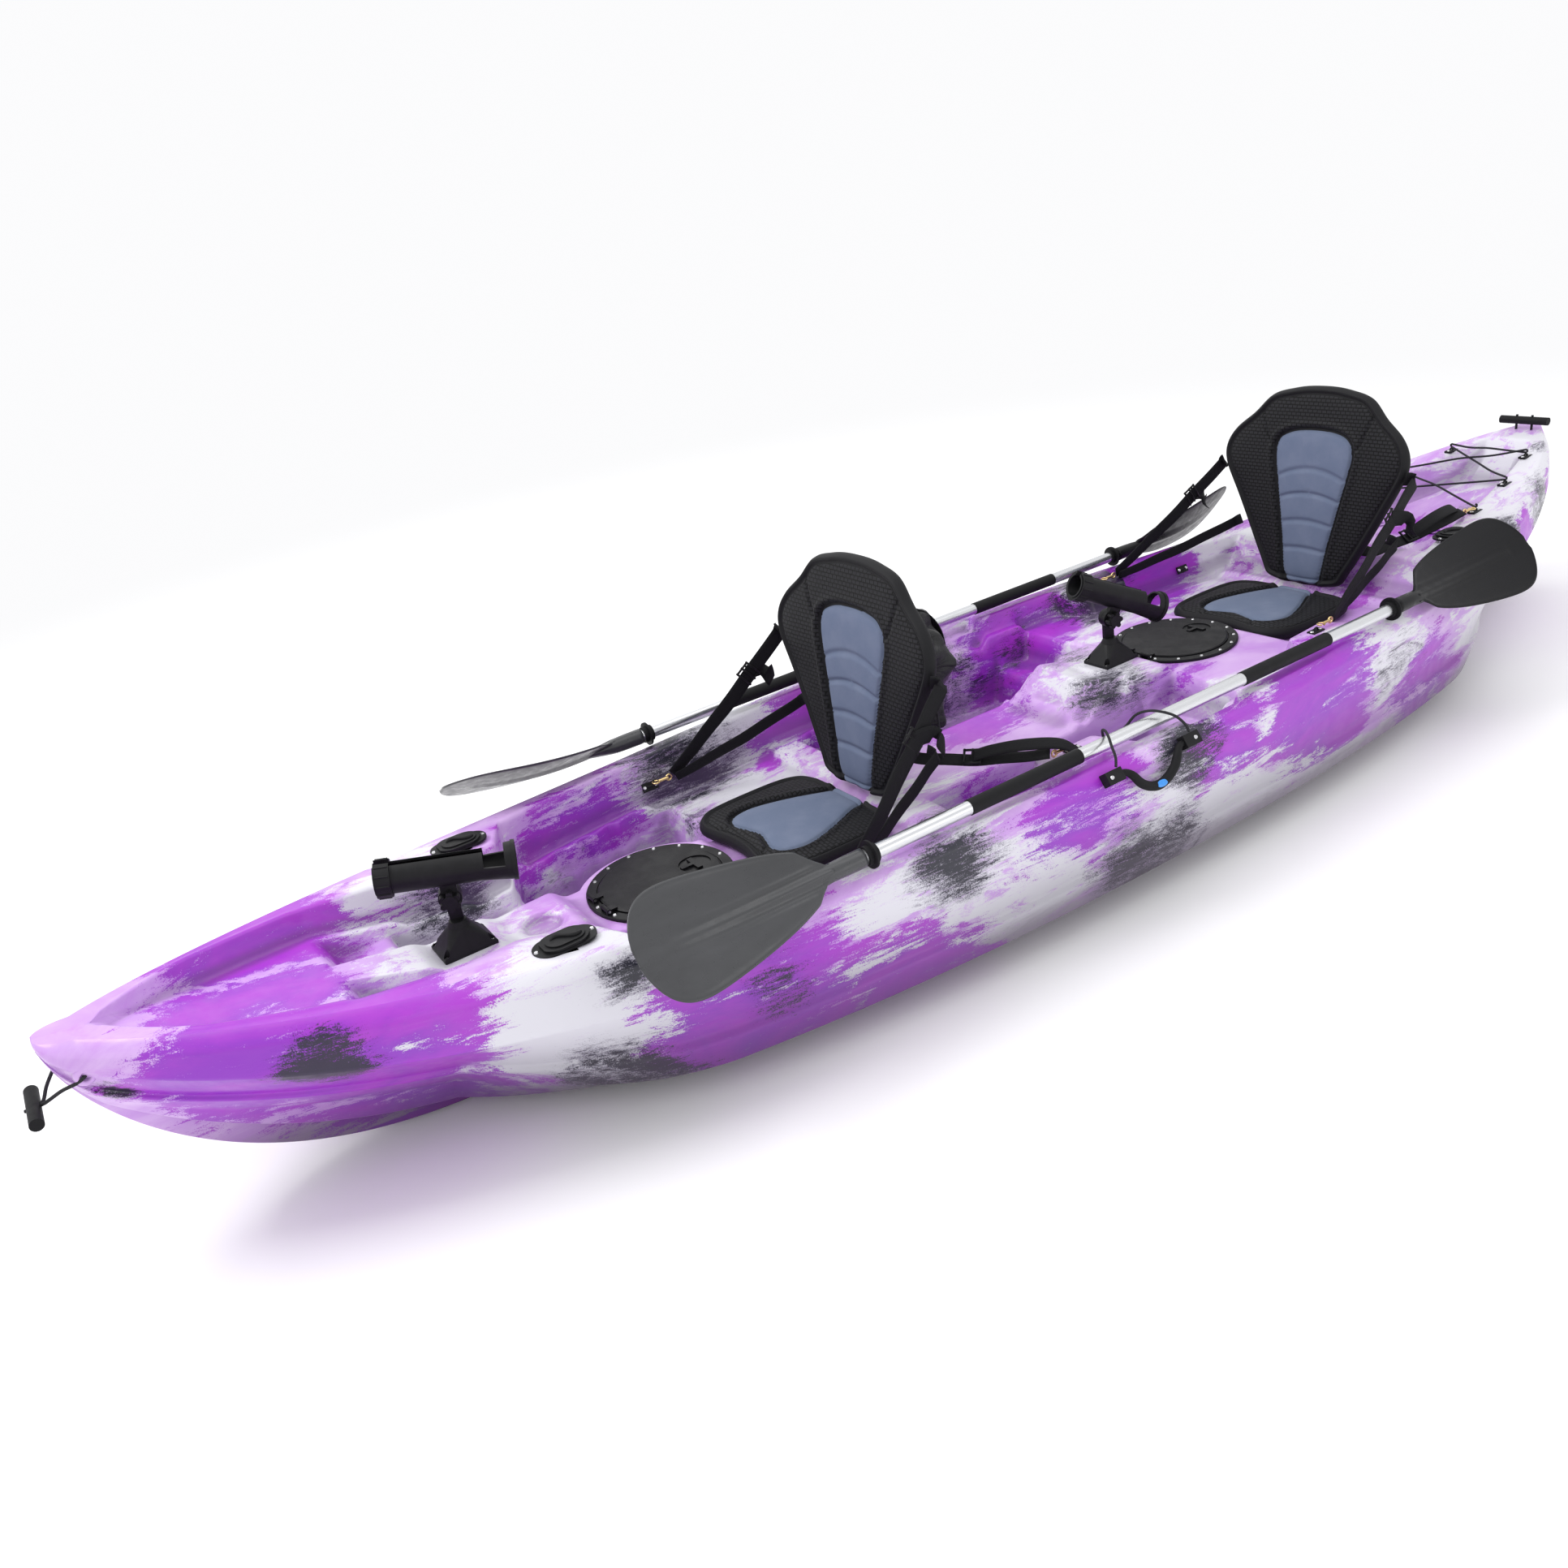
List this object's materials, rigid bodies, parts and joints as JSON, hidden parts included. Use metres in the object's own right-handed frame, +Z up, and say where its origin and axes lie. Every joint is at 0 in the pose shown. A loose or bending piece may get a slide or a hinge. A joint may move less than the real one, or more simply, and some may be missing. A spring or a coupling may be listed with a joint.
{
  "type": "sit-on-top fishing kayak",
  "caption": "Two-seat sit-on-top fishing kayak with folding seats, round hatches, swivelling rod holders, flush rod tubes, side handles and parked paddles.",
  "frame": {"origin": "on the ground plane under the middle of the bounding box", "axes": "+Z up, -Y towards the bow, +X towards the port side"},
  "size_m": [0.9344, 3.739, 0.7005],
  "materials": {
    "hull_plastic": "marbled rotomoulded polyethylene, satin",
    "black_plastic": "fine moulded texture",
    "blade_plastic": "satin moulded nylon",
    "grip_rubber": "matt rubber sleeve",
    "seal_rubber": "soft seal",
    "cord": "braided elastic cord",
    "steel": "stainless screw",
    "brass": "cast brass",
    "alu": "anodised tube",
    "seat_fabric": "black coated weave over foam",
    "webbing": "black nylon webbing"
  },
  "bodies": {
    "kayak": {"hull": "hull_plastic", "hatch_rings": "black_plastic", "hatch_seals": "seal_rubber", "hatch_screws": "steel", "hatch_hinge_pins": "steel", "rod_holder_bases": "black_plastic", "flush_rod_tubes": "black_plastic", "deck_screws": "steel", "pad_eyes": "black_plastic", "snap_hooks": "brass", "front_seat_base": "seat_fabric", "rear_seat_base": "seat_fabric", "front_seat_straps": "webbing", "rear_seat_straps": "webbing", "handle_brackets": "black_plastic", "paddle_park_cords": "cord", "stern_bungee": "cord"},
    "front_lid": {"front_hatch_lid": "black_plastic"},
    "front_latch": {"front_hatch_latch": "black_plastic"},
    "rear_lid": {"rear_hatch_lid": "black_plastic"},
    "rear_latch": {"rear_hatch_latch": "black_plastic"},
    "front_post": {"front_rod_post": "black_plastic"},
    "front_tube": {"front_rod_tube": "black_plastic"},
    "front_collar": {"front_rod_collar": "black_plastic"},
    "front_knob": {"front_rod_knob": "black_plastic"},
    "rear_post": {"rear_rod_post": "black_plastic"},
    "rear_tube": {"rear_rod_tube": "black_plastic"},
    "rear_collar": {"rear_rod_collar": "black_plastic"},
    "rear_knob": {"rear_rod_knob": "black_plastic"},
    "port_bow_cap_body": {"port_bow_cap": "black_plastic"},
    "starboard_bow_cap_body": {"starboard_bow_cap": "black_plastic"},
    "port_stern_cap_body": {"port_stern_cap": "black_plastic"},
    "starboard_stern_cap_body": {"starboard_stern_cap": "black_plastic"},
    "front_back": {"front_seat_back": "seat_fabric", "front_seat_bag": "seat_fabric", "front_bag_cord": "cord"},
    "rear_back": {"rear_seat_back": "seat_fabric"},
    "port_handle": {"port_handle_grip": "grip_rubber"},
    "port_front_half": {"port_front_shaft": "alu", "port_front_blade": "blade_plastic", "port_front_grip": "grip_rubber", "port_front_ring": "grip_rubber"},
    "port_rear_half": {"port_rear_shaft": "alu", "port_rear_blade": "blade_plastic", "port_rear_grip": "grip_rubber", "port_rear_ring": "grip_rubber"},
    "starboard_handle": {"starboard_handle_grip": "grip_rubber"},
    "starboard_front_half": {"starboard_front_shaft": "alu", "starboard_front_blade": "blade_plastic", "starboard_front_grip": "grip_rubber", "starboard_front_ring": "grip_rubber"},
    "starboard_rear_half": {"starboard_rear_shaft": "alu", "starboard_rear_blade": "blade_plastic", "starboard_rear_grip": "grip_rubber", "starboard_rear_ring": "grip_rubber"},
    "bow_pull": {"bow_toggle": "black_plastic", "bow_toggle_rope": "cord"},
    "stern_pull": {"stern_toggle": "black_plastic", "stern_toggle_rope": "cord"},
    "plug": {"drain_plug": "black_plastic"}
  },
  "joints": [
    {"name": "front_hatch_lift", "type": "hinge", "parent": "kayak", "child": "front_lid", "pos_m": [0, -0.988, 0.2275], "axis": [1, 0, 0], "range_deg": [0, 85]},
    {"name": "front_latch_turn", "type": "hinge", "parent": "front_lid", "child": "front_latch", "pos_m": [0, -0.795, 0.215], "axis": [0, 0, 1], "range_deg": [0, 90]},
    {"name": "rear_hatch_lift", "type": "hinge", "parent": "kayak", "child": "rear_lid", "pos_m": [0, 0.339, 0.2605], "axis": [1, 0, 0], "range_deg": [0, 60]},
    {"name": "rear_latch_turn", "type": "hinge", "parent": "rear_lid", "child": "rear_latch", "pos_m": [0, 0.532, 0.248], "axis": [0, 0, 1], "range_deg": [0, 90]},
    {"name": "front_rod_swivel", "type": "hinge", "parent": "kayak", "child": "front_post", "pos_m": [0, -1.228, 0.302], "axis": [0, 0, 1], "continuous": true},
    {"name": "front_rod_tilt", "type": "hinge", "parent": "front_post", "child": "front_tube", "pos_m": [0, -1.228, 0.352], "axis": [0.9397, -0.342, 0], "range_deg": [-30, 30]},
    {"name": "front_collar_turn", "type": "hinge", "parent": "front_tube", "child": "front_collar", "pos_m": [0.00172, -1.22328, 0.39974], "axis": [0.3401, 0.9345, -0.1045], "range_deg": [0, 60]},
    {"name": "front_knob_turn", "type": "hinge", "parent": "front_tube", "child": "front_knob", "pos_m": [0, -1.228, 0.352], "axis": [0.9397, -0.342, 0], "continuous": true},
    {"name": "rear_rod_swivel", "type": "hinge", "parent": "kayak", "child": "rear_post", "pos_m": [0, 0.262, 0.314], "axis": [0, 0, 1], "continuous": true},
    {"name": "rear_rod_tilt", "type": "hinge", "parent": "rear_post", "child": "rear_tube", "pos_m": [0, 0.262, 0.364], "axis": [0.9703, -0.2419, 0], "range_deg": [-20, 45]},
    {"name": "rear_collar_turn", "type": "hinge", "parent": "rear_tube", "child": "rear_collar", "pos_m": [0.00509, 0.28242, 0.40714], "axis": [0.2174, 0.8721, -0.4384], "range_deg": [0, 60]},
    {"name": "rear_knob_turn", "type": "hinge", "parent": "rear_tube", "child": "rear_knob", "pos_m": [0, 0.262, 0.364], "axis": [0.9703, -0.2419, 0], "continuous": true},
    {"name": "port_bow_cap_lift", "type": "hinge", "parent": "kayak", "child": "port_bow_cap_body", "pos_m": [0.232, -1.173, 0.32667], "axis": [1, 0, 0], "range_deg": [0, 85]},
    {"name": "starboard_bow_cap_lift", "type": "hinge", "parent": "kayak", "child": "starboard_bow_cap_body", "pos_m": [-0.232, -1.173, 0.32667], "axis": [1, 0, 0], "range_deg": [0, 85]},
    {"name": "port_stern_cap_lift", "type": "hinge", "parent": "kayak", "child": "port_stern_cap_body", "pos_m": [0.206, 1.123, 0.33213], "axis": [1, 0, 0], "range_deg": [0, 85]},
    {"name": "starboard_stern_cap_lift", "type": "hinge", "parent": "kayak", "child": "starboard_stern_cap_body", "pos_m": [-0.206, 1.123, 0.33213], "axis": [1, 0, 0], "range_deg": [0, 85]},
    {"name": "front_seat_fold", "type": "hinge", "parent": "kayak", "child": "front_back", "pos_m": [0, -0.436, 0.231], "axis": [1, 0, 0], "range_deg": [0, 88], "deforming": ["front_seat_straps"]},
    {"name": "rear_seat_fold", "type": "hinge", "parent": "kayak", "child": "rear_back", "pos_m": [0, 0.887, 0.253], "axis": [1, 0, 0], "range_deg": [0, 88], "deforming": ["rear_seat_straps"]},
    {"name": "port_handle_swing", "type": "hinge", "parent": "kayak", "child": "port_handle", "pos_m": [0.429, -0.084, 0.291], "axis": [0, -1, 0], "range_deg": [0, 110]},
    {"name": "port_paddle_lift", "type": "slide", "parent": "kayak", "child": "port_front_half", "axis": [0, 0, 1], "range_m": [0, 0.06], "deforming": ["paddle_park_cords"]},
    {"name": "port_paddle_feather", "type": "hinge", "parent": "port_front_half", "child": "port_rear_half", "pos_m": [0.381, 0, 0.3295], "axis": [0, -1, 0], "range_deg": [0, 30]},
    {"name": "starboard_handle_swing", "type": "hinge", "parent": "kayak", "child": "starboard_handle", "pos_m": [-0.429, -0.084, 0.291], "axis": [0, 1, 0], "range_deg": [0, 110]},
    {"name": "starboard_paddle_lift", "type": "slide", "parent": "kayak", "child": "starboard_front_half", "axis": [0, 0, 1], "range_m": [0, 0.06], "deforming": ["paddle_park_cords"]},
    {"name": "starboard_paddle_feather", "type": "hinge", "parent": "starboard_front_half", "child": "starboard_rear_half", "pos_m": [-0.381, 0, 0.3295], "axis": [0, 1, 0], "range_deg": [0, 30]},
    {"name": "bow_toggle_swing", "type": "hinge", "parent": "kayak", "child": "bow_pull", "pos_m": [0, -1.79, 0.338], "axis": [-1, 0, 0], "range_deg": [0, 70]},
    {"name": "stern_toggle_pull", "type": "slide", "parent": "kayak", "child": "stern_pull", "axis": [0, 0, 1], "range_m": [0, 0.04]},
    {"name": "drain_plug_turn", "type": "hinge", "parent": "kayak", "child": "plug", "pos_m": [-0.17874, 1.6, 0.318], "axis": [1, 0, 0], "continuous": true}
  ]
}
